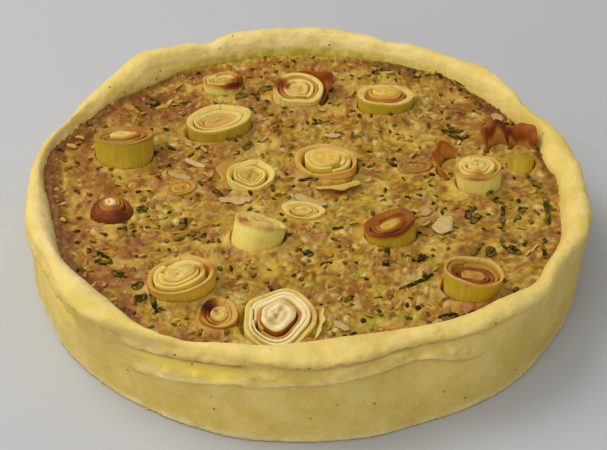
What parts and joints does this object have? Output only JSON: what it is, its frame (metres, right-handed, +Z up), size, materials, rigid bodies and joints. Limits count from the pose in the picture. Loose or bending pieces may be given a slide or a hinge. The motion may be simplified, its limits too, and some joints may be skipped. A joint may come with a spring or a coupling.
{
  "type": "quiche",
  "caption": "Deep round leek quiche taken out of its tin: a tall hand-shaped shortcrust case round a baked egg and ham filling, with rolled leek slices standing in its top.",
  "frame": {"origin": "middle of the pastry case's flat underside", "axes": "+Z up, -Y towards the side with the folded lip and the large white leek slice"},
  "size_m": [0.282, 0.2837, 0.0559],
  "materials": {
    "pastry": "matte",
    "custard": "satin",
    "leek_flesh": "satin",
    "browned_leaf": "satin",
    "ham": "satin",
    "herbs": "satin",
    "onion": "satin"
  },
  "bodies": {
    "root": {"pastry_case": "pastry", "filling": "custard", "leek_tall_left": "leek_flesh", "leek_oval_green": "leek_flesh", "leek_back_left": "leek_flesh", "leek_back_middle": "leek_flesh", "leek_back_right": "leek_flesh", "leek_rose": "leek_flesh", "leek_big_swirl": "leek_flesh", "leek_white_barrel": "leek_flesh", "leek_by_the_rim": "leek_flesh", "leek_browned": "leek_flesh", "leek_leaning": "leek_flesh", "leek_yellow_swirl": "leek_flesh", "leek_small_ring": "leek_flesh", "leek_large_front": "leek_flesh", "leek_cup": "leek_flesh", "leek_dark_knob": "leek_flesh", "leek_sunk_left": "leek_flesh", "leek_sunk_middle": "leek_flesh", "leek_sunk_right": "leek_flesh", "leaf_behind_middle": "browned_leaf", "leaf_of_rose": "browned_leaf", "leaf_of_big_swirl": "browned_leaf", "leaf_by_barrel": "browned_leaf", "leaf_burnt_left": "browned_leaf", "leaf_burnt_right": "browned_leaf", "leaf_by_large_front": "browned_leaf"}
  },
  "joints": []
}
